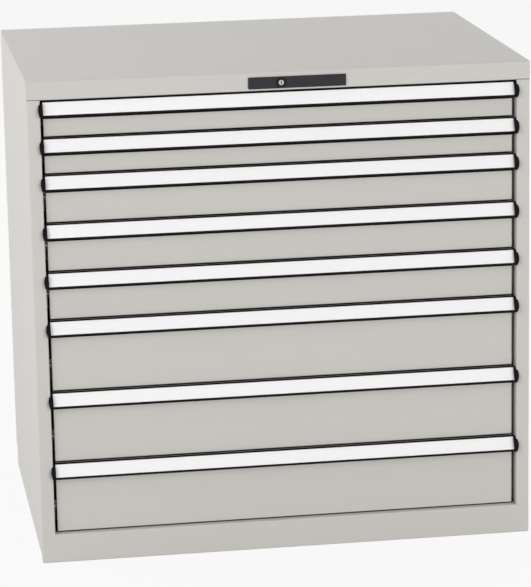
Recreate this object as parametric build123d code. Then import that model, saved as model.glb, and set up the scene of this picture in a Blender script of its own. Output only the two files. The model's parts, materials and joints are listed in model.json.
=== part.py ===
from build123d import *
import os
from math import cos, radians, sin

# Workshop drawer cabinet. Origin under the middle of the floor print,
# +X to the right, +Y to the rear, +Z up, millimetres.

# Housing
cabinet_width = 1023.0
cabinet_depth = 725.0
height_pitch = 25.0
front_units = (3, 3, 4, 4, 4, 6, 6, 6)
fascia_height = 37.5
head_gap = 2.5
plinth_height = 60.0
stile_width = 27.0
stile_return = 30.0
rear_flange = 25.0
housing_sheet = 1.5
housing_bend = 1.5
fascia_return = 20.0
top_flange = 20.0
back_sheet = 1.0
fold_clearance = 0.5

# Base
base_sheet = 2.0
base_lap = 10.0
plinth_return = 30.0
plinth_edge = 2.0
anchor_bore = 11.0
anchor_inset = 60.0

# Drawer front, measured inside its share of the opening
panel_recess = 15.0
panel_depth = 20.0
panel_side_gap = 6.7
panel_gap = 1.5
panel_sheet = 1.2
panel_bend = 0.8
panel_lip = 16.0

# Tray
runner_bay = 25.5
tray_sheet = 1.2
tray_bend = 0.8
tray_lift = 4.0
tray_headroom = 17.0
rear_space = 75.6

# Handle extrusion, with the channel for the label strip
handle_side_gap = 5.0
handle_wall = 2.0
handle_top_depth = 8.0
grip_depth = 20.0
grip_height = 28.0
handle_leg_height = 36.0
handle_nose = 1.0
handle_root = 1.2
handle_root_share = 0.5
upper_lip = 1.2
lower_lip = 2.2
lip_undercut = 0.6
lip_thickness = 0.8
channel_depth = 1.8
label_clearance = 0.1

# End cap of the handle
cap_plate = 3.0
cap_overhang = 4.2
cap_proud = 4.2
cap_drop = 3.0
cap_stile_clearance = 1.0
cap_corner = 4.0
cap_edge = 1.0

# Runners
rail_sheet = 1.5
rail_bend = 0.6
rail_depth = 8.5
rail_height = 33.0
rail_inset = 2.0
roller_diameter = 20.0
roller_gap = 0.3
roller_end_gap = 0.5
roller_stop = 3.0
hub_diameter = 9.0
carriage_sheet = 3.0
carriage_margin = 2.0
carriage_clearance = 0.8
carriage_inset = 5.0

# Runner posts
post_width = 40.0
post_setback = 20.0
slot_height = 12.0
slot_width = 5.0
hook_clearance = 0.5
hook_reach = 4.0

# Central lock
lock_drop = 2.75
lock_plate_left = 66.5
lock_plate_right = 132.0
lock_plate_height = 23.5
lock_plate_thickness = 3.0
lock_plate_corner = 1.5
lock_plate_bore = 20.4
cylinder_diameter = 17.0
cylinder_rim_diameter = 20.0
cylinder_rim = 1.0
cylinder_proud = 2.0
cylinder_clearance = 0.1
cylinder_end = 2.0
core_diameter = 11.0
core_clearance = 0.05
core_sink = 0.4
core_shaft = 6.0
key_slot_width = 1.6
key_slot_height = 7.0
key_slot_depth = 8.0
nut_flats = 24.0
nut_thickness = 5.0
crank_thickness = 3.0
crank_width = 9.0
pin_diameter = 4.0
pin_clearance = 0.4
pin_overrun = 1.0
lock_turn = 90.0
bar_thickness = 2.0
bar_travel = 10.0
bar_clearance = 1.5
bar_running_gap = 0.3
bar_side_clearance = 2.5
arm_height = 14.0
arm_overrun = 4.0
tongue_height = 6.0
tongue_gap = 2.2
catch_gap = 2.0
catch_height = 7.0
catch_thickness = 2.0
catch_clearance = 1.0
catch_grip = 5.0
catch_stem = 6.0

overrun = 1.0

# Whole cabinet
stack_height = height_pitch * sum(front_units)
stack_top = plinth_height + stack_height
opening_top = stack_top + head_gap
cabinet_height = opening_top + fascia_height
half_width = cabinet_width / 2
half_opening = half_width - stile_width
skin_inside = half_width - housing_sheet
cover_under = cabinet_height - housing_sheet

# Depths, from the stile face to the rear, centred over the handles as well
cap_reach = grip_depth + cap_proud - panel_recess
face_y = (cap_reach - cabinet_depth) / 2
rear_y = face_y + cabinet_depth
panel_y = face_y + panel_recess
tray_front = panel_y + panel_depth
tray_rear = rear_y - rear_space
tray_inner_depth = tray_rear - tray_front - 2 * tray_sheet
bar_front = tray_front + bar_clearance
bar_rear = bar_front + bar_thickness
post_front = bar_rear + bar_running_gap
catch_front = bar_rear + catch_clearance

# Widths of the runner stack, outwards from the tray
tray_half = half_opening - runner_bay + tray_sheet
drawer_rail_edge = tray_half + rail_depth
carriage_inside = drawer_rail_edge + carriage_clearance
carriage_outside = carriage_inside + carriage_sheet
cabinet_rail_edge = carriage_outside + carriage_clearance
post_face = cabinet_rail_edge + rail_depth

# Runner travel
drawer_travel = tray_inner_depth
carriage_travel = drawer_travel / 2
channel_height = roller_diameter + 2 * roller_gap
rail_half = channel_height / 2 + rail_sheet

# Lock
lock_z = cabinet_height - fascia_height / 2 - lock_drop
crank_angle = lock_turn / 2
crank_radius = bar_travel / (2 * sin(radians(crank_angle)))
pin_x = crank_radius * cos(radians(crank_angle))
pin_z = lock_z - bar_travel / 2
tongue_bottom = rail_height + rail_half + tongue_gap
catch_bottom = tongue_bottom + tongue_height + catch_gap
tongue_tip = post_face - catch_clearance - catch_grip


def block(x, y, z):
    # Box between a low and a high limit on each axis
    limits = (x, y, z)
    size = [high - low for low, high in limits]
    middle = [(high + low) / 2 for low, high in limits]
    return Pos(*middle) * Box(*size)


def both_sides(piece):
    return [piece, mirror(piece, about=Plane.YZ)]


def rod(diameter, x, y, z):
    # Round bar along X
    return Pos(sum(x) / 2, y, z) * Rot(0, 90, 0) * Cylinder(diameter / 2, x[1] - x[0])


def spindle(diameter, x, y, z):
    # Round bar along Y
    return Pos(x, sum(y) / 2, z) * Rot(90, 0, 0) * Cylinder(diameter / 2, y[1] - y[0])


def sheet_section(points, sheet, bend):
    # Section of a folded sheet. The points run along one face, with the sheet on their left.
    near = [Vector(*point) for point in points]
    runs = [(end - start).normalized() for start, end in zip(near, near[1:])]
    lefts = [Vector(-run.Y, run.X) for run in runs]
    far = [near[0] + lefts[0] * sheet]
    for corner, before, after in zip(near[1:], lefts, lefts[1:]):
        far.append(corner + (before + after) * (sheet / (1 + before.dot(after))))
    far.append(near[-1] + lefts[-1] * sheet)
    turns_left = [a.cross(b).Z > 0 for a, b in zip(runs, runs[1:])]
    near_edge = FilletPolyline(*near, radius=[bend + sheet * left for left in turns_left])
    far_edge = FilletPolyline(*far, radius=[bend + sheet * (not left) for left in turns_left])
    ends = [Edge.make_line(near[0], far[0]), Edge.make_line(near[-1], far[-1])]
    return make_face(near_edge.edges() + far_edge.edges() + ends)


def side_wall():
    # Right wall: skin, front stile with its return, and rear flange, all one sheet
    flange_edge = half_width - rear_flange
    stile = [(half_opening, face_y + stile_return), (half_opening, face_y), (half_width, face_y)]
    rear = [(half_width, rear_y), (flange_edge, rear_y)]
    upright = sheet_section(stile + rear, housing_sheet, housing_bend)
    foot = sheet_section([(half_width, face_y + plinth_return)] + rear, housing_sheet, housing_bend)
    wall = Pos(0, 0, plinth_height) * extrude(upright, opening_top - plinth_height)
    wall += Pos(0, 0, plinth_height - base_lap) * extrude(foot, base_lap)
    depth = (face_y + housing_sheet, rear_y - housing_sheet)
    skin = block((skin_inside, half_width), depth, (opening_top, cover_under))
    corners = skin.edges().filter_by(Axis.X).group_by(Axis.Z)[-1]
    return wall + fillet(corners, housing_bend + fold_clearance)


def back_wall():
    half = skin_inside - housing_bend - fold_clearance
    back = (rear_y - housing_sheet - back_sheet, rear_y - housing_sheet)
    return block((-half, half), back, (plinth_height, cabinet_height - top_flange))


def top_cover():
    # Rear flange, cover, fascia and fascia return, then the side flanges inside the walls
    outline = [
        (rear_y, opening_top),
        (rear_y, cabinet_height),
        (face_y, cabinet_height),
        (face_y, opening_top),
        (face_y + fascia_return, opening_top),
    ]
    section = Plane.YZ * sheet_section(outline, housing_sheet, housing_bend)
    cover = extrude(section, half_width, both=True)
    depth = (face_y + fascia_return, rear_y - fascia_return)
    flange = block((skin_inside - housing_sheet, skin_inside), depth,
                   (cabinet_height - top_flange, cover_under))
    notch = block((skin_inside - fold_clearance, half_width + overrun),
                  (face_y + housing_sheet, face_y + fascia_return + overrun),
                  (opening_top - overrun, opening_top + housing_sheet + housing_bend))
    for added, cut in zip(both_sides(flange), both_sides(notch)):
        cover = cover + added - cut
    bore = cylinder_diameter + 2 * cylinder_clearance
    return cover - spindle(bore, 0, (face_y - overrun, face_y + fascia_return), lock_z)


def base_frame():
    # Pan on the floor, with the plinth in front turned in at its top
    rear = rear_y - housing_sheet
    pan = block((-skin_inside, skin_inside), (face_y, rear), (0, plinth_height))
    pan += block((-half_width, half_width), (face_y, face_y + plinth_return), (0, plinth_height))
    uprights = pan.edges().filter_by(Axis.Z).group_by(Axis.Y)
    pan = fillet(uprights[0] + uprights[-1], plinth_edge)
    inner = (base_sheet - skin_inside, skin_inside - base_sheet)
    pan -= block(inner, (face_y + plinth_return, rear - base_sheet), (base_sheet, plinth_height + overrun))
    pan -= block(inner, (face_y + base_sheet, face_y + plinth_return + overrun),
                 (base_sheet, plinth_height - base_sheet))
    for x, y in anchor_places():
        pan -= Pos(x, y, 0) * Cylinder(anchor_bore / 2, 2 * (base_sheet + overrun))
    return pan


def anchor_places():
    half = skin_inside - anchor_inset
    front = face_y + anchor_inset
    rear = rear_y - housing_sheet - anchor_inset
    return [(x, y) for x in (-half, half) for y in (front, rear)]


def post_depths():
    # Front limits of the front and rear post on each side
    return [post_front, tray_rear - post_setback - post_width]


def runner_posts():
    posts = []
    levels = sum(front_units) - 1
    for front in post_depths():
        rear = front + post_width
        outline = [(skin_inside, rear), (post_face, rear), (post_face, front), (skin_inside, front)]
        post = extrude(sheet_section(outline, housing_sheet, housing_bend), stack_height)
        post = Pos(0, 0, plinth_height) * post
        middle = front + post_width / 2
        for level in range(levels):
            z = plinth_height + rail_height + level * height_pitch
            slot = Box(2 * (housing_sheet + overrun), slot_width, slot_height)
            post -= Pos(post_face, middle, z) * slot
        posts += both_sides(post)
    return Compound(children=posts)


def drawer_bottoms():
    # Height of the bottom of each drawer's share of the stack, from the top drawer down
    used = [sum(front_units[: place + 1]) for place in range(len(front_units))]
    return [stack_top - height_pitch * units for units in used]


def channel(outline, y):
    section = Plane.XZ * sheet_section(outline, rail_sheet, rail_bend)
    return Pos(0, y[1], 0) * extrude(section, y[1] - y[0])


def cabinet_rail(z):
    # Channel open towards the drawer
    low = z - rail_half
    high = z + rail_half
    outline = [(cabinet_rail_edge, low), (post_face, low), (post_face, high), (cabinet_rail_edge, high)]
    return channel(outline, (post_front, tray_rear))


def rail_hooks(z):
    # Lugs on the back of a cabinet rail, one in a slot of each post
    half = slot_width / 2 - hook_clearance
    rise = slot_height / 2 - hook_clearance
    middles = [front + post_width / 2 for front in post_depths()]
    return [
        block((post_face, post_face + hook_reach), (middle - half, middle + half), (z - rise, z + rise))
        for middle in middles
    ]


def cabinet_rails():
    pieces = []
    for bottom in drawer_bottoms():
        z = bottom + rail_height
        for piece in [cabinet_rail(z)] + rail_hooks(z):
            pieces += both_sides(piece)
    return Compound(children=pieces)


def drawer_rail(z):
    # Channel open away from the drawer
    low = z - rail_half
    high = z + rail_half
    outline = [(drawer_rail_edge, high), (tray_half, high), (tray_half, low), (drawer_rail_edge, low)]
    return channel(outline, (tray_front + rail_inset, tray_rear))


def lock_catch(bottom):
    # Hook plate on the left drawer rail, which the lock bar's tongue blocks
    root = bottom + rail_height + rail_half
    low = bottom + catch_bottom
    high = low + catch_height
    tip = post_face - catch_clearance
    stem = tray_half + catch_stem
    outline = Polyline((tray_half, root), (stem, root), (stem, low), (tip, low), (tip, high),
                       (tray_half, high), close=True)
    plate = extrude(Plane.XZ * make_face(outline), catch_thickness)
    plate = Pos(0, catch_front + catch_thickness, 0) * plate
    return mirror(plate, about=Plane.YZ)


def drawer_tray(bottom, height):
    # Folded tray with its two rails
    low = bottom + tray_lift
    high = low + tray_sheet + height - tray_headroom
    tray = block((-tray_half, tray_half), (tray_front, tray_rear), (low, high))
    top = tray.faces().sort_by(Axis.Z)[-1]
    folds = [edge for edge in tray.edges() if edge not in top.edges()]
    tray = fillet(folds, tray_bend + tray_sheet)
    inner_half = tray_half - tray_sheet
    inner = block((-inner_half, inner_half), (tray_front + tray_sheet, tray_rear - tray_sheet),
                  (low + tray_sheet, high))
    top = inner.faces().sort_by(Axis.Z)[-1]
    folds = [edge for edge in inner.edges() if edge not in top.edges()]
    tray -= fillet(folds, tray_bend)
    right, left = both_sides(drawer_rail(bottom + rail_height))
    left += lock_catch(bottom)
    return Compound(children=[tray, right, left])


def drawer_front(bottom, height):
    # Front sheet with flanges and lips turned in behind it, closed at the ends
    low = bottom + panel_gap
    high = bottom + height - panel_gap
    half = half_opening - panel_side_gap
    outline = [
        (tray_front, high - panel_lip),
        (tray_front, high),
        (panel_y, high),
        (panel_y, low),
        (tray_front, low),
        (tray_front, low + panel_lip),
    ]
    front = extrude(Plane.YZ * sheet_section(outline, panel_sheet, panel_bend), half, both=True)
    end = block((half - panel_sheet, half), (panel_y + panel_sheet, tray_front - panel_sheet),
                (low + panel_sheet, high - panel_sheet))
    for piece in both_sides(end):
        front += piece
    return front


def handle_plane(x, top):
    # Section plane of the handle: forwards from the panel, and up
    return Plane(origin=(x, panel_y, top), x_dir=(0, -1, 0), z_dir=(-1, 0, 0))


def grip_point(along, depth):
    # Point on the sloping face of the handle, a distance down it and a depth below it
    start = Vector(handle_top_depth, 0)
    slope = (Vector(grip_depth, -grip_height) - start).normalized()
    outward = Vector(-slope.Y, slope.X)
    return start + slope * along - outward * depth


def grip_length():
    return (Vector(grip_depth, -grip_height) - Vector(handle_top_depth, 0)).length


def handle(top):
    length = grip_length()
    floor = channel_depth
    wall = channel_depth + handle_wall
    upper = upper_lip - lip_undercut
    lower = length - lower_lip + lip_undercut
    slope = grip_point(length, wall) - grip_point(0, wall)
    climb = -(grip_point(0, wall).Y + handle_wall) / slope.Y
    inner_top = grip_point(0, wall) + slope * climb
    root = min(handle_root, handle_root_share * (inner_top.X - handle_wall))
    corners = [
        ((0, 0), 0),
        ((handle_top_depth, 0), handle_nose),
        (grip_point(upper_lip, 0), 0),
        (grip_point(upper_lip, lip_thickness), 0),
        (grip_point(upper, lip_thickness), 0),
        (grip_point(upper, floor), 0),
        (grip_point(lower, floor), 0),
        (grip_point(lower, lip_thickness), 0),
        (grip_point(length - lower_lip, lip_thickness), 0),
        (grip_point(length - lower_lip, 0), 0),
        (grip_point(length, 0), handle_nose),
        (grip_point(length, wall), handle_nose),
        (inner_top, root),
        ((handle_wall, -handle_wall), root),
        ((handle_wall, -handle_leg_height), 0),
        ((0, -handle_leg_height), 0),
    ]
    points = [Vector(*place) if isinstance(place, tuple) else place for place, radius in corners]
    outline = FilletPolyline(*points, radius=[radius for place, radius in corners], close=True)
    half = half_opening - handle_side_gap
    return extrude(handle_plane(0, top) * make_face(outline), half, both=True)


def label(top):
    # Strip that lies in the channel, under its lips
    start = upper_lip - lip_undercut + label_clearance
    end = grip_length() - lower_lip + lip_undercut - label_clearance
    outline = Polyline(
        grip_point(start, channel_depth),
        grip_point(end, channel_depth),
        grip_point(end, lip_thickness + label_clearance),
        grip_point(start, lip_thickness + label_clearance),
        close=True,
    )
    half = half_opening - handle_side_gap
    return extrude(handle_plane(0, top) * make_face(outline), half, both=True)


def cap_section():
    # Side view of the end cap: a bulge in front of the grip, turned in below it
    reach = grip_depth + cap_proud
    low = -grip_height - cap_drop
    upright = (reach, low + 2 * cap_corner)
    bulge = TangentArc(upright, (handle_top_depth, 0), tangent=(0, 1))
    below = FilletPolyline(upright, (reach, low), (0, low), radius=[cap_corner])
    back = Polyline((0, low), (0, 0), (handle_top_depth, 0))
    return make_face(bulge.edges() + below.edges() + back.edges())


def ear_outline():
    # Front view of the ear, right of the middle: an arc that swells past the edge of the opening
    inner = half_opening - handle_side_gap + cap_plate
    low = -grip_height - cap_drop
    swell = ThreePointArc((half_opening, 0), (half_opening + cap_overhang, low / 2), (half_opening, low))
    rest = Polyline((half_opening, low), (inner, low), (inner, 0), (half_opening, 0))
    return make_face(swell.edges() + rest.edges())


def end_caps(top):
    # Plate on the end of the handle, and an ear that stands in front of the stile
    half = half_opening - handle_side_gap
    plate = extrude(handle_plane(half + cap_plate, top) * cap_section(), cap_plate)
    clear = panel_y - panel_recess - cap_stile_clearance
    front = panel_y - grip_depth - cap_proud
    ear = extrude(Plane((0, clear, top), x_dir=(1, 0, 0), z_dir=(0, -1, 0)) * ear_outline(), clear - front)
    ear &= extrude(handle_plane(half_width, top) * cap_section(), half_width - half)
    ear = fillet(ear.faces().sort_by(Axis.X)[-1].edges(), cap_edge)
    return Compound(children=both_sides(plate + ear))


def roller(x, hub_x, y, z):
    return rod(roller_diameter, x, y, z) + rod(hub_diameter, hub_x, y, z)


def carriage(z):
    # Plate between the rails, with rollers for the drawer rail inside and the cabinet rail outside
    front = post_front + carriage_inset
    rear = tray_rear - carriage_inset
    half_height = roller_diameter / 2 + carriage_margin - roller_gap
    plate = block((carriage_inside, carriage_outside), (front, rear), (z - half_height, z + half_height))
    plate = fillet(plate.edges().filter_by(Axis.X), half_height - carriage_margin)
    stop = roller_diameter / 2 + roller_stop
    inner = (tray_half + rail_sheet + roller_end_gap, drawer_rail_edge - roller_end_gap)
    outer = (cabinet_rail_edge + roller_end_gap, post_face - rail_sheet - roller_end_gap)
    pieces = [plate]
    for y in (front + stop, tray_rear - stop - carriage_travel):
        pieces.append(roller(inner, (inner[1], carriage_inside), y, z))
    for y in (post_front + stop + carriage_travel, rear - stop):
        pieces.append(roller(outer, (carriage_outside, outer[0]), y, z))
    return pieces


def carriages(bottom):
    pieces = []
    for piece in carriage(bottom + rail_height):
        pieces += both_sides(piece)
    return Compound(children=pieces)


def lock_plate():
    half = lock_plate_height / 2
    front = face_y - lock_plate_thickness
    plate = block((-lock_plate_left, lock_plate_right), (front, face_y), (lock_z - half, lock_z + half))
    plate = fillet(plate.edges().filter_by(Axis.Y), lock_plate_corner)
    return plate - spindle(lock_plate_bore, 0, (front - overrun, face_y + overrun), lock_z)


def cylinder_front():
    return face_y - lock_plate_thickness - cylinder_proud


def crank_front():
    return bar_front - bar_running_gap - crank_thickness


def cylinder_rear():
    return crank_front() - bar_running_gap


def lock_cylinder():
    # Barrel through the fascia, with a rim that seats on it and an end that the core's shaft passes
    front = cylinder_front()
    rear = cylinder_rear()
    barrel = spindle(cylinder_diameter, 0, (front, rear), lock_z)
    barrel += spindle(cylinder_rim_diameter, 0, (face_y - cylinder_rim, face_y), lock_z)
    bore = core_diameter + 2 * core_clearance
    shaft_bore = core_shaft + 2 * core_clearance
    barrel -= spindle(bore, 0, (front - overrun, rear - cylinder_end), lock_z)
    return barrel - spindle(shaft_bore, 0, (front, rear + overrun), lock_z)


def lock_nut():
    bore = cylinder_diameter + 2 * cylinder_clearance
    nut = RegularPolygon(nut_flats / 2, 6, major_radius=False) - Circle(bore / 2)
    nut = extrude(Plane.XZ * nut, nut_thickness)
    return Pos(0, face_y + housing_sheet + nut_thickness, lock_z) * nut


def lock_core():
    # Plug with the key slot, its shaft, and the crank with its pin behind the barrel
    front = cylinder_front() + core_sink
    plug_rear = cylinder_rear() - cylinder_end - bar_running_gap
    core = spindle(core_diameter, 0, (front, plug_rear), lock_z)
    core += spindle(core_shaft, 0, (plug_rear, crank_front()), lock_z)
    half_slot = key_slot_width / 2
    rise = key_slot_height / 2
    core -= block((-half_slot, half_slot), (front - overrun, front + key_slot_depth),
                  (lock_z - rise, lock_z + rise))
    arm = SlotCenterToCenter(crank_radius, crank_width)
    arm = Pos(-pin_x / 2, lock_z - bar_travel / 4) * Rot(0, 0, crank_angle) * arm
    crank_rear = crank_front() + crank_thickness
    core += Pos(0, crank_rear, 0) * extrude(Plane.XZ * arm, crank_thickness)
    core += spindle(pin_diameter, -pin_x, (crank_front(), bar_rear + pin_overrun), pin_z)
    return core


def lock_bar():
    # Arm behind the fascia, upright behind the left stile, one tongue for each drawer
    inner = half_opening + housing_sheet + bar_side_clearance
    outer = skin_inside - bar_side_clearance
    top = pin_z + arm_height / 2
    depth = (bar_front, bar_rear)
    bar = block((-outer, -inner), depth, (plinth_height, top))
    bar += block((-outer, arm_overrun), depth, (top - arm_height, top))
    for bottom in drawer_bottoms():
        low = bottom + tongue_bottom
        bar += block((-inner, -tongue_tip), depth, (low, low + tongue_height))
    slot = SlotOverall(crank_radius - pin_x + pin_diameter + 2 * pin_clearance,
                       pin_diameter + 2 * pin_clearance)
    slot = Pos(-(crank_radius + pin_x) / 2, pin_z) * slot
    return bar - Pos(0, bar_rear + overrun, 0) * extrude(Plane.XZ * slot, bar_thickness + 2 * overrun)


def cabinet():
    right_wall, left_wall = both_sides(side_wall())
    nodes = {
        "side_wall_left": left_wall,
        "side_wall_right": right_wall,
        "back_wall": back_wall(),
        "top_cover": top_cover(),
        "base_frame": base_frame(),
        "runner_posts": runner_posts(),
        "cabinet_rails": cabinet_rails(),
        "lock_plate": lock_plate(),
        "lock_cylinder": lock_cylinder(),
        "lock_nut": lock_nut(),
        "lock_core": lock_core(),
        "lock_bar": lock_bar(),
    }
    for place, bottom in enumerate(drawer_bottoms()):
        name = f"drawer_{place + 1}"
        height = front_units[place] * height_pitch
        top = bottom + height - panel_gap
        nodes[name + "_tray"] = drawer_tray(bottom, height)
        nodes[name + "_front"] = drawer_front(bottom, height)
        nodes[name + "_handle"] = handle(top)
        nodes[name + "_label"] = label(top)
        nodes[name + "_end_caps"] = end_caps(top)
        nodes[name + "_carriages"] = carriages(bottom)
    return nodes


os.makedirs("parts", exist_ok=True)
for node, shape in cabinet().items():
    export_step(shape, os.path.join("parts", node + ".step"))
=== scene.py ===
import json
import math

import bmesh
import bpy
from mathutils import Matrix, Vector


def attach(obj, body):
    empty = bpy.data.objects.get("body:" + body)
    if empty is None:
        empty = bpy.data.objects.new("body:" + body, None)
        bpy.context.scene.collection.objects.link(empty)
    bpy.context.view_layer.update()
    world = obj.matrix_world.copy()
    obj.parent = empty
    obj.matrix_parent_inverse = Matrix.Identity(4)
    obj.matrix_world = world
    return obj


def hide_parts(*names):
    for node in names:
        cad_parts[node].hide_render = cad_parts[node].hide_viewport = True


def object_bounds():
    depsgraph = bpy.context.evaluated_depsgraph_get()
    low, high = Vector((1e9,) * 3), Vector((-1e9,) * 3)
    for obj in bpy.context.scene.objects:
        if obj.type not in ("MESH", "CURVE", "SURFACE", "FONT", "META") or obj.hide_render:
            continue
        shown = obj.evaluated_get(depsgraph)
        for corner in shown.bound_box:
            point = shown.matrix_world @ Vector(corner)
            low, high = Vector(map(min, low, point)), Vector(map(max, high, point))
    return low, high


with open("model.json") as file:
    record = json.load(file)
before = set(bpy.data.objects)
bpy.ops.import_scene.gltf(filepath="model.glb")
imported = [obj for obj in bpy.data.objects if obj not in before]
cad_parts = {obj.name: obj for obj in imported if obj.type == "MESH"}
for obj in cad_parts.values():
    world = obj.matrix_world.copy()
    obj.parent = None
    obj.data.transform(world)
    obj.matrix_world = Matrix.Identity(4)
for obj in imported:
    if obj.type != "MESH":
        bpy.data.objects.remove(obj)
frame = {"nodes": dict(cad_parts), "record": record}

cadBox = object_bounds()
nodes = frame["nodes"]
drawerCount = sum(name.endswith("_tray") for name in nodes)
print("frame:", len(nodes), "pieces,", drawerCount, "drawers")


def linear(red, green, blue):
    # 8 bit screen colour to the renderer's own
    def channel(value):
        share = value / 255
        return share / 12.92 if share <= 0.04045 else ((share + 0.055) / 1.055) ** 2.4
    return (channel(red), channel(green), channel(blue), 1)


def combined(tree, operation, first, second):
    # maths node: a socket with another socket or with a number
    node = tree.nodes.new("ShaderNodeMath")
    node.operation = operation
    tree.links.new(first, node.inputs[0])
    if isinstance(second, (int, float)):
        node.inputs[1].default_value = second
    else:
        tree.links.new(second, node.inputs[1])
    return node.outputs[0]


# camera: in front, to the left and above, with the whole cabinet in the frame
camera = {
    "focal": 2971.6,           # pixels
    "longSide": 587,           # pixels
    "sensor": 36,              # mm
    "clipEnd": 100,
    "place": (-0.9189, -6.1741, 1.9644),
    "yaw": 0.1501,
    "pitch": 0.2368,
    "roll": 0.0185,
}


def setCamera(values):
    data = bpy.data.cameras.new("camera")
    data.sensor_width = values["sensor"]
    data.lens = values["focal"] * values["sensor"] / values["longSide"]
    data.clip_end = values["clipEnd"]
    holder = bpy.data.objects.new("camera", data)
    turn = Matrix.Rotation(-values["yaw"], 4, "Z")
    tilt = Matrix.Rotation(math.pi / 2 - values["pitch"], 4, "X")
    lean = Matrix.Rotation(-values["roll"], 4, "Z")
    holder.matrix_world = Matrix.Translation(values["place"]) @ turn @ tilt @ lean
    bpy.context.scene.collection.objects.link(holder)
    bpy.context.scene.camera = holder


setCamera(camera)
bpy.context.scene.view_settings.view_transform = "Standard"
print("camera set")


# studio: soft lamps, a pale floor and an even sky
studio = {
    "sky": 0.42,
    "lamps": [
        {"name": "keyLamp", "place": (-3.0, -3.6, 2.2), "size": 2.4, "power": 70},
        {"name": "sideLamp", "place": (-3.6, 0.5, 2.5), "size": 2.4, "power": 55},
        {"name": "fillLamp", "place": (2.6, -5.2, 1.2), "size": 3.0, "power": 106},
        {"name": "backLamp", "place": (3.2, 4.4, 2.6), "size": 3.0, "power": 115},
    ],
    "aim": (0, 0, 0.5),
    "floorSide": 60,
    "floorDrop": 0.0005,       # below the plinth, so that the two don't share a plane
    "floorRoughness": 0.9,
    "floorColor": linear(205, 205, 204),
    "floorGlow": 0.9,          # share of plain white that the camera sees
}


def seenBackground(tree):
    # 1 where the camera, a reflection or glass looks straight at the backdrop
    path = tree.nodes.new("ShaderNodeLightPath")
    seen = path.outputs["Is Camera Ray"]
    for ray in ("Is Glossy Ray", "Is Transmission Ray"):
        seen = combined(tree, "MAXIMUM", seen, path.outputs[ray])
    return seen


def setSky(level):
    world = bpy.data.worlds.new("sky")
    world.use_nodes = True
    tree = world.node_tree
    back = tree.nodes["Background"]
    back.inputs["Color"].default_value = (1, 1, 1, 1)
    strength = tree.nodes.new("ShaderNodeMapRange")
    strength.inputs["To Min"].default_value = level
    strength.inputs["To Max"].default_value = 1
    tree.links.new(seenBackground(tree), strength.inputs["Value"])
    tree.links.new(strength.outputs["Result"], back.inputs["Strength"])
    bpy.context.scene.world = world


def setLamp(values, aim):
    data = bpy.data.lights.new(values["name"], "AREA")
    data.shape = "DISK"
    data.size = values["size"]
    data.energy = values["power"]
    lamp = bpy.data.objects.new(values["name"], data)
    lamp.location = values["place"]
    look = Vector(aim) - Vector(values["place"])
    lamp.rotation_euler = look.to_track_quat("-Z", "Y").to_euler()
    lamp.visible_glossy = False
    bpy.context.scene.collection.objects.link(lamp)


def setFloor(values):
    half = values["floorSide"] / 2
    mesh = bpy.data.meshes.new("floor")
    corners = [(-half, -half, 0), (half, -half, 0), (half, half, 0), (-half, half, 0)]
    mesh.from_pydata(corners, [], [(0, 1, 2, 3)])
    floor = bpy.data.objects.new("floor", mesh)
    floor.location.z = cadBox[0].z - values["floorDrop"]
    bpy.context.scene.collection.objects.link(floor)
    paper = bpy.data.materials.new("floorPaper")
    paper.use_nodes = True
    tree = paper.node_tree
    matt = tree.nodes["Principled BSDF"]
    matt.inputs["Base Color"].default_value = values["floorColor"]
    matt.inputs["Roughness"].default_value = values["floorRoughness"]
    matt.inputs["Specular IOR Level"].default_value = 0
    glow = tree.nodes.new("ShaderNodeEmission")
    mix = tree.nodes.new("ShaderNodeMixShader")
    share = combined(tree, "MULTIPLY", seenBackground(tree), values["floorGlow"])
    tree.links.new(share, mix.inputs["Fac"])
    tree.links.new(matt.outputs[0], mix.inputs[1])
    tree.links.new(glow.outputs[0], mix.inputs[2])
    tree.links.new(mix.outputs[0], tree.nodes["Material Output"].inputs["Surface"])
    mesh.materials.append(paper)


setSky(studio["sky"])
for lampValues in studio["lamps"]:
    setLamp(lampValues, studio["aim"])
setFloor(studio)
print("studio lit")


# shared effects, each a node group
def startGroup(name, inputs, outputs):
    group = bpy.data.node_groups.new(name, "ShaderNodeTree")
    kinds = {"color": "NodeSocketColor", "value": "NodeSocketFloat", "vector": "NodeSocketVector"}
    for label, kind in inputs:
        group.interface.new_socket(name=label, in_out="INPUT", socket_type=kinds[kind])
    for label, kind in outputs:
        group.interface.new_socket(name=label, in_out="OUTPUT", socket_type=kinds[kind])
    return group, group.nodes.new("NodeGroupInput"), group.nodes.new("NodeGroupOutput")


def objectPlace(tree):
    return tree.nodes.new("ShaderNodeTexCoord").outputs["Object"]


def noise(tree, place, scale, detail):
    node = tree.nodes.new("ShaderNodeTexNoise")
    node.inputs["Detail"].default_value = detail
    tree.links.new(place, node.inputs["Vector"])
    if isinstance(scale, (int, float)):
        node.inputs["Scale"].default_value = scale
    else:
        tree.links.new(scale, node.inputs["Scale"])
    return node.outputs["Fac"]


def centred(tree, value, amount):
    # value about a half, times an amount
    return combined(tree, "MULTIPLY", combined(tree, "SUBTRACT", value, 0.5), amount)


def toned(tree, color, shift):
    # colour made lighter or darker by a shift about zero
    scale = tree.nodes.new("ShaderNodeVectorMath")
    scale.operation = "SCALE"
    tree.links.new(color, scale.inputs["Vector"])
    tree.links.new(combined(tree, "ADD", shift, 1), scale.inputs["Scale"])
    return scale.outputs["Vector"]


def mapped(tree, value, none, full, way="LINEAR"):
    # 0 at one value and 1 at another, and no further beyond them
    node = tree.nodes.new("ShaderNodeMapRange")
    node.interpolation_type = way
    node.inputs["From Min"].default_value = none
    node.inputs["From Max"].default_value = full
    tree.links.new(value, node.inputs["Value"])
    return node.outputs["Result"]


def startPattern(name, scales):
    # group of a finish's own pattern
    inputs = [("Color", "color"), ("Roughness", "value")]
    inputs += [(label, "value") for label in (*scales, "Tone", "Gloss")]
    return startGroup(name, inputs, [("Color", "color"), ("Roughness", "value"), ("Height", "value")])


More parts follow.
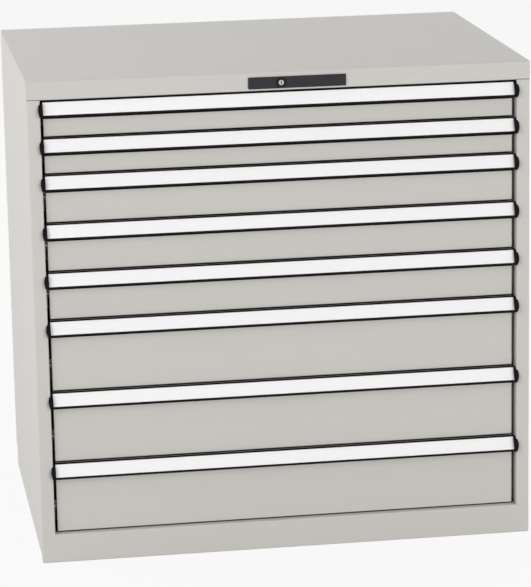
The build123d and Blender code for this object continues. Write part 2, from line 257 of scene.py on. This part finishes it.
def putOut(group, given, made, tone, gloss, height):
    # colour and gloss shifted by their patterns, and the pattern for the height
    shift = centred(group, tone, given.outputs["Tone"])
    change = centred(group, gloss, given.outputs["Gloss"])
    group.links.new(toned(group, given.outputs["Color"], shift), made.inputs["Color"])
    roughness = combined(group, "ADD", given.outputs["Roughness"], change)
    group.links.new(roughness, made.inputs["Roughness"])
    group.links.new(height, made.inputs["Height"])


grainShape = {"grainDetail": 3, "cloudDetail": 4}


def makeSurfaceGrain():
    # fine grain for height, slow clouds for colour and gloss
    group, given, made = startPattern("surfaceGrain", ("Grain Scale", "Cloud Scale"))
    place = objectPlace(group)
    grain = noise(group, place, given.outputs["Grain Scale"], grainShape["grainDetail"])
    cloud = noise(group, place, given.outputs["Cloud Scale"], grainShape["cloudDetail"])
    putOut(group, given, made, cloud, grain, grain)
    return group


lineShape = {"squeeze": (0.01, 1, 1), "detail": 4}


def makeDrawLines():
    # fine lines along X, as rolling or extrusion leaves them
    group, given, made = startPattern("drawLines", ("Line Scale",))
    squeeze = group.nodes.new("ShaderNodeVectorMath")
    squeeze.operation = "MULTIPLY"
    squeeze.inputs[1].default_value = lineShape["squeeze"]
    group.links.new(objectPlace(group), squeeze.inputs[0])
    lines = noise(group, squeeze.outputs["Vector"], given.outputs["Line Scale"],
                  lineShape["detail"])
    putOut(group, given, made, lines, lines, lines)
    return group


# how far the softened normal turns from the true one at an edge, and how the rub breaks up
rubShape = {
    "samples": 6,
    "turnNone": 0.995,
    "turnFull": 0.9,
    "breakScale": 90,
    "breakDetail": 4,
    "breakNone": 0.35,
    "breakFull": 0.7,
}


def makeEdgeRub():
    # mask of the edges that hands and tools rub, broken up by noise
    group, given, made = startGroup(
        "edgeRub",
        [("Width", "value"), ("Amount", "value")],
        [("Mask", "value"), ("Normal", "vector")])
    soft = group.nodes.new("ShaderNodeBevel")
    soft.samples = rubShape["samples"]
    group.links.new(given.outputs["Width"], soft.inputs["Radius"])
    flat = group.nodes.new("ShaderNodeNewGeometry")
    dot = group.nodes.new("ShaderNodeVectorMath")
    dot.operation = "DOT_PRODUCT"
    group.links.new(soft.outputs["Normal"], dot.inputs[0])
    group.links.new(flat.outputs["Normal"], dot.inputs[1])
    edge = mapped(group, dot.outputs["Value"], rubShape["turnNone"], rubShape["turnFull"])
    patches = noise(group, objectPlace(group), rubShape["breakScale"], rubShape["breakDetail"])
    broken = mapped(group, patches, rubShape["breakNone"], rubShape["breakFull"])
    mask = combined(group, "MULTIPLY", edge, broken)
    group.links.new(combined(group, "MULTIPLY", mask, given.outputs["Amount"]), made.inputs["Mask"])
    group.links.new(soft.outputs["Normal"], made.inputs["Normal"])
    return group


# share of open sky at which the painted gap shade begins, and at which it is full
gapShadeShape = {"samples": 8, "skyNone": 0.62, "skyFull": 0.2}


def makeGapShade():
    # mask of narrow gaps and inner corners for painted shade: colour darkened where little open sky is
    # seen
    group, given, made = startGroup(
        "gapShade",
        [("Reach", "value"), ("Amount", "value")],
        [("Mask", "value")])
    sight = group.nodes.new("ShaderNodeAmbientOcclusion")
    sight.samples = gapShadeShape["samples"]
    group.links.new(given.outputs["Reach"], sight.inputs["Distance"])
    shut = mapped(group, sight.outputs["AO"], gapShadeShape["skyNone"], gapShadeShape["skyFull"], "SMOOTHSTEP")
    group.links.new(combined(group, "MULTIPLY", shut, given.outputs["Amount"]), made.inputs["Mask"])
    return group


flowerShape = {"fineScale": 700, "fineDetail": 3}


def makeZincFlowers():
    # crystals of a zinc coat: patches with their own tone and gloss
    group, given, made = startPattern("zincFlowers", ("Flower Scale",))
    place = objectPlace(group)
    flowers = group.nodes.new("ShaderNodeTexVoronoi")
    group.links.new(place, flowers.inputs["Vector"])
    group.links.new(given.outputs["Flower Scale"], flowers.inputs["Scale"])
    tone = group.nodes.new("ShaderNodeSeparateColor")
    group.links.new(flowers.outputs["Color"], tone.inputs["Color"])
    fine = noise(group, place, flowerShape["fineScale"], flowerShape["fineDetail"])
    putOut(group, given, made, tone.outputs["Red"], tone.outputs["Green"], fine)
    return group


effects = {"grain": makeSurfaceGrain(), "lines": makeDrawLines(), "flowers": makeZincFlowers()}
edgeRub = makeEdgeRub()
gapShade = makeGapShade()
print("effects ready")


# finishes; the dark colour that some of them take in narrow gaps is painted shade
finishes = {
    "greyPaint": {
        "color": linear(205, 202, 197), "roughness": 0.46, "metallic": 0,
        "effect": "grain", "pattern": {"Grain Scale": 850, "Cloud Scale": 2.2,
                                       "Tone": 0.035, "Gloss": 0.12},
        "bump": 0.12, "depth": 0.0004, "rub": 0.35, "rubColor": linear(222, 221, 218),
        "paintedShade": 1, "paintedShadeColor": linear(30, 28, 26),
    },
    "zincSteel": {
        "color": linear(168, 170, 173), "roughness": 0.44, "metallic": 1,
        "effect": "flowers", "pattern": {"Flower Scale": 110, "Tone": 0.16, "Gloss": 0.16},
        "bump": 0.06, "depth": 0.0004, "rub": 0.4, "rubColor": linear(214, 215, 217),
    },
    "blackAnodised": {
        "color": linear(10, 10, 11), "roughness": 0.55, "metallic": 0, "specular": 0.12,
        "effect": "lines", "pattern": {"Line Scale": 900, "Tone": 0.4, "Gloss": 0.2},
        "bump": 0.08, "depth": 0.0003, "rub": 0.1, "rubColor": linear(52, 52, 54),
        "paintedShade": 1, "paintedShadeColor": linear(5, 5, 5),
    },
    "whiteLabel": {
        "color": linear(250, 250, 250), "roughness": 0.5, "metallic": 0,
        "effect": "grain", "pattern": {"Grain Scale": 600, "Cloud Scale": 5,
                                       "Tone": 0.012, "Gloss": 0.06},
        "bump": 0.04, "depth": 0.0002, "coat": 0.4, "coatRoughness": 0.12,
    },
    "blackPlastic": {
        "color": linear(9, 9, 10), "roughness": 0.66, "metallic": 0, "specular": 0.16,
        "effect": "grain", "pattern": {"Grain Scale": 1400, "Cloud Scale": 30,
                                       "Tone": 0.2, "Gloss": 0.15},
        "bump": 0.15, "depth": 0.0003, "rub": 0.1, "rubColor": linear(48, 48, 50),
    },
    "anthracitePlastic": {
        "color": linear(37, 35, 42), "roughness": 0.46, "metallic": 0, "specular": 0.35,
        "effect": "grain", "pattern": {"Grain Scale": 1400, "Cloud Scale": 30,
                                       "Tone": 0.1, "Gloss": 0.15},
        "bump": 0.16, "depth": 0.0003, "rub": 0.3, "rubColor": linear(70, 69, 76),
    },
    "lockChrome": {
        "color": linear(206, 201, 190), "roughness": 0.2, "metallic": 1,
        "effect": "grain", "pattern": {"Grain Scale": 420, "Cloud Scale": 60,
                                       "Tone": 0.05, "Gloss": 0.12},
        "bump": 0.03, "depth": 0.0002, "rub": 0.4, "rubColor": linear(232, 229, 222),
        "paintedShade": 1, "paintedShadeColor": linear(14, 13, 12),
    },
    # dark case of the lock in place of chrome: painted shade of the ring round the core
    "lockCaseShade": {
        "color": linear(52, 51, 50), "roughness": 0.34, "metallic": 1,
        "effect": "grain", "pattern": {"Grain Scale": 420, "Cloud Scale": 60,
                                       "Tone": 0.1, "Gloss": 0.15},
        "bump": 0.03, "depth": 0.0002, "rub": 0.5, "rubColor": linear(120, 118, 114),
    },
}
rubWidth = 0.0012              # metres
gapShadeReach = 0.009              # metres, how far the painted gap shade looks for cover
plainSurface = {"coat": 0, "coatRoughness": 0.03, "specular": 0.5}


def placeGroup(tree, group, values):
    node = tree.nodes.new("ShaderNodeGroup")
    node.node_tree = group
    for label, value in values.items():
        node.inputs[label].default_value = value
    return node


def mixColor(tree, mask, below, above):
    mix = tree.nodes.new("ShaderNodeMix")
    mix.data_type = "RGBA"
    mix.inputs["B"].default_value = above
    tree.links.new(mask, mix.inputs["Factor"])
    tree.links.new(below, mix.inputs["A"])
    return mix.outputs["Result"]


def makeFinish(name, values):
    material = bpy.data.materials.new(name)
    material.use_nodes = True
    tree = material.node_tree
    surface = tree.nodes["Principled BSDF"]
    surface.inputs["Metallic"].default_value = values["metallic"]
    gloss = {**plainSurface, **values}
    surface.inputs["Coat Weight"].default_value = gloss["coat"]
    surface.inputs["Coat Roughness"].default_value = gloss["coatRoughness"]
    surface.inputs["Specular IOR Level"].default_value = gloss["specular"]
    own = dict(values["pattern"], Color=values["color"], Roughness=values["roughness"])
    effect = placeGroup(tree, effects[values["effect"]], own)
    tree.links.new(effect.outputs["Roughness"], surface.inputs["Roughness"])
    bump = tree.nodes.new("ShaderNodeBump")
    bump.inputs["Strength"].default_value = values["bump"]
    bump.inputs["Distance"].default_value = values["depth"]
    tree.links.new(effect.outputs["Height"], bump.inputs["Height"])
    tree.links.new(bump.outputs["Normal"], surface.inputs["Normal"])
    color = effect.outputs["Color"]
    if "rub" in values:
        rub = placeGroup(tree, edgeRub, {"Width": rubWidth, "Amount": values["rub"]})
        tree.links.new(rub.outputs["Normal"], bump.inputs["Normal"])
        color = mixColor(tree, rub.outputs["Mask"], color, values["rubColor"])
    # painted shade: base colour darkened towards a near-black colour in narrow gaps and inner corners
    if "paintedShade" in values:
        paintedShade = placeGroup(tree, gapShade, {"Reach": gapShadeReach, "Amount": values["paintedShade"]})
        color = mixColor(tree, paintedShade.outputs["Mask"], color, values["paintedShadeColor"])
    tree.links.new(color, surface.inputs["Base Color"])
    return material


finish = {name: makeFinish(name, values) for name, values in finishes.items()}
print("finishes:", ", ".join(finish))


# which finish each piece of the frame takes: by its slot, but the lock's case takes a dark finish in
# place of its chrome slot, painted shade for the dark ring round the lock core
slotFinish = {
    "light_grey_paint": "greyPaint",
    "galvanised": "zincSteel",
    "black_anodised": "blackAnodised",
    "white_label": "whiteLabel",
    "black_plastic": "blackPlastic",
    "anthracite_plastic": "anthracitePlastic",
    "chrome": "lockChrome",
}
nodeFinish = {"lock_cylinder": "lockCaseShade"}


def dressFrame():
    for part in frame["record"]["subparts"]:
        for place in nodes[part["node"]].material_slots:
            place.link = "OBJECT"
            usual = slotFinish[part["material_slot"]]
            place.material = finish[nodeFinish.get(part["node"], usual)]


dressFrame()
print("frame dressed")


# trays: folded sheet with rows of slots for dividers, between the two rails
trayShape = {
    "sheet": 0.0012,
    "bend": 0.002,
    "bendSteps": 3,
    "slotPitch": 0.017,
    "slotWidth": 0.003,
    "slotFoot": 0.016,         # above the floor of the tray
    "slotHeight": 0.030,
    "rowStep": 0.050,
    "rim": 0.011,              # left whole below the top edge
    "endMargin": 0.020,        # left whole beside each corner
    "weld": 1e-6,              # points closer than this are one
    "sharpFold": math.radians(32),
}


def islandsOf(work):
    # the separate pieces of a mesh, each as a list of its corners
    loose = set(work.verts)
    found = []
    while loose:
        island = [loose.pop()]
        for corner in island:
            for edge in corner.link_edges:
                other = edge.other_vert(corner)
                if other in loose:
                    loose.remove(other)
                    island.append(other)
        found.append(island)
    return found


def spanX(island):
    places = [corner.co.x for corner in island]
    return max(places) - min(places)


def splitTray(node, values):
    # box of the folded tray, and the rails beside it as a mesh of their own
    work = bmesh.new()
    work.from_mesh(node.data)
    bmesh.ops.remove_doubles(work, verts=work.verts, dist=values["weld"])
    shell = max(islandsOf(work), key=spanX)
    low = Vector([min(corner.co[axis] for corner in shell) for axis in range(3)])
    high = Vector([max(corner.co[axis] for corner in shell) for axis in range(3)])
    bmesh.ops.delete(work, geom=shell, context="VERTS")
    rails = bpy.data.meshes.new("trayRails")
    work.to_mesh(rails)
    work.free()
    return low, high, rails


def trayPath(low, high, values):
    # outline from above: for each point its anchor, its way out, and whether a slot follows it
    bend = values["bend"]
    ends = [(high.x - bend, low.y + bend), (high.x - bend, high.y - bend),
            (low.x + bend, high.y - bend), (low.x + bend, low.y + bend)]
    path = []
    for turn, end in enumerate(ends):
        anchor = Vector(end)
        for step in range(values["bendSteps"] + 1):
            angle = math.pi / 2 * (turn - 1 + step / values["bendSteps"])
            path.append((anchor, Vector((math.cos(angle), math.sin(angle))), False))
        run = Vector(ends[(turn + 1) % 4]) - anchor
        count = int((run.length - 2 * values["endMargin"]) / values["slotPitch"])
        first = (run.length - (count - 1) * values["slotPitch"]) / 2
        for slot in range(count):
            middle = first + slot * values["slotPitch"]
            for edge, opens in ((-0.5, True), (0.5, False)):
                along = run.normalized() * (middle + edge * values["slotWidth"])
                path.append((anchor + along, path[-1][1], opens))
    return path


def trayLevels(low, high, values):
    # heights from the floor fold up: z, how far in, and whether slots lie above
    levels = []
    for step in range(values["bendSteps"] + 1):
        angle = math.pi / 2 * step / values["bendSteps"]
        levels.append((low.z + values["bend"] * (1 - math.cos(angle)),
                       values["bend"] * (1 - math.sin(angle)), False))
    foot = low.z + values["sheet"] + values["slotFoot"]
    while foot + values["slotHeight"] <= high.z - values["rim"]:
        levels.append((foot, 0, True))
        levels.append((foot + values["slotHeight"], 0, False))
        foot += values["rowStep"]
    levels.append((high.z, 0, False))
    return levels


def traySheet(low, high, values):
    path = trayPath(low, high, values)
    levels = trayLevels(low, high, values)
    work = bmesh.new()
    rows = []
    for z, inset, _ in levels:
        places = [anchor + way * (values["bend"] - inset) for anchor, way, _ in path]
        rows.append([work.verts.new((place.x, place.y, z)) for place in places])
    for level, (below, above) in enumerate(zip(rows, rows[1:])):
        for at in range(len(path)):
            after = (at + 1) % len(path)
            isSlot = path[at][2] and levels[level][2]
            if not isSlot:
                work.faces.new((below[at], below[after], above[after], above[at]))
    work.faces.new(reversed(rows[0]))
    bmesh.ops.remove_doubles(work, verts=work.verts, dist=values["weld"])
    mesh = bpy.data.meshes.new("traySheet")
    work.to_mesh(mesh)
    work.free()
    return mesh


def thickened(mesh, sheet):
    # the sheet with its inner side and its cut edges
    holder = bpy.data.objects.new("thickened", mesh)
    bpy.context.scene.collection.objects.link(holder)
    solid = holder.modifiers.new("sheet", "SOLIDIFY")
    solid.thickness = sheet
    solid.offset = -1
    solid.use_even_offset = True
    seen = holder.evaluated_get(bpy.context.evaluated_depsgraph_get())
    made = bpy.data.meshes.new_from_object(seen)
    bpy.data.objects.remove(holder)
    bpy.data.meshes.remove(mesh)
    return made


def addPiece(name, mesh, finishName, body, node):
    mesh.materials.clear()
    mesh.materials.append(finish[finishName])
    mesh.shade_smooth()
    mesh.set_sharp_from_angle(angle=trayShape["sharpFold"])
    piece = bpy.data.objects.new(name, mesh)
    bpy.context.scene.collection.objects.link(piece)
    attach(piece, body)
    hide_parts(node)


def makeTray(number):
    body = f"drawer_{number}"
    node = body + "_tray"
    low, high, rails = splitTray(nodes[node], trayShape)
    sheet = thickened(traySheet(low, high, trayShape), trayShape["sheet"])
    addPiece(f"slottedTray{number}", sheet, "greyPaint", body, node)
    addPiece(f"trayRails{number}", rails, "zincSteel", body, node)
    return len(sheet.polygons)


trayFaces = [makeTray(number + 1) for number in range(drawerCount)]
print("trays:", len(trayFaces), "with", sum(trayFaces), "faces")
